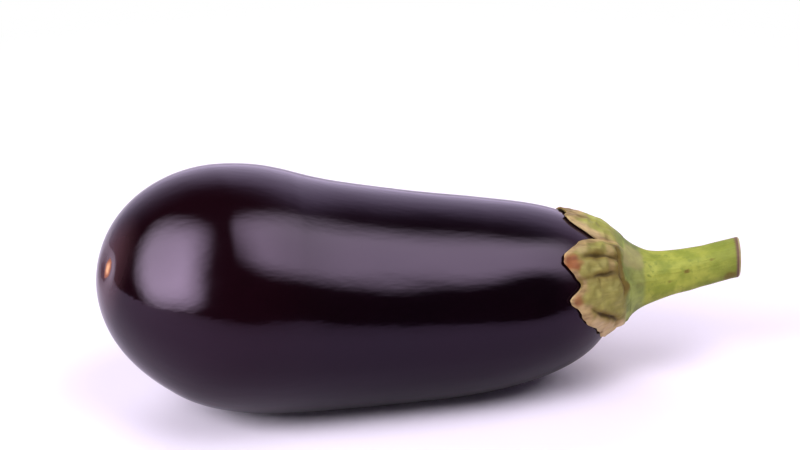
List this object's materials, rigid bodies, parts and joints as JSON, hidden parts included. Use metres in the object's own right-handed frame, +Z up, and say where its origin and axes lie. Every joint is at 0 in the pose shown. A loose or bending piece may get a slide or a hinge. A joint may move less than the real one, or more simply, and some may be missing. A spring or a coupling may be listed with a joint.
{
  "type": "eggplant",
  "caption": "A glossy dark purple eggplant lying on its side, its green calyx and short cut stem lifted off the table.",
  "frame": {"origin": "on the surface the eggplant lies on, under the middle of its length and width", "axes": "+Z up, +X from the blossom end towards the cut stem"},
  "size_m": [0.236, 0.0888, 0.0914],
  "materials": {
    "skin": "dark aubergine skin, waxy and glossy",
    "calyx": "matte green stem and calyx, dry and brown along the edges"
  },
  "bodies": {
    "root": {"fruit": "skin", "calyx_and_stem": "calyx"}
  },
  "joints": []
}
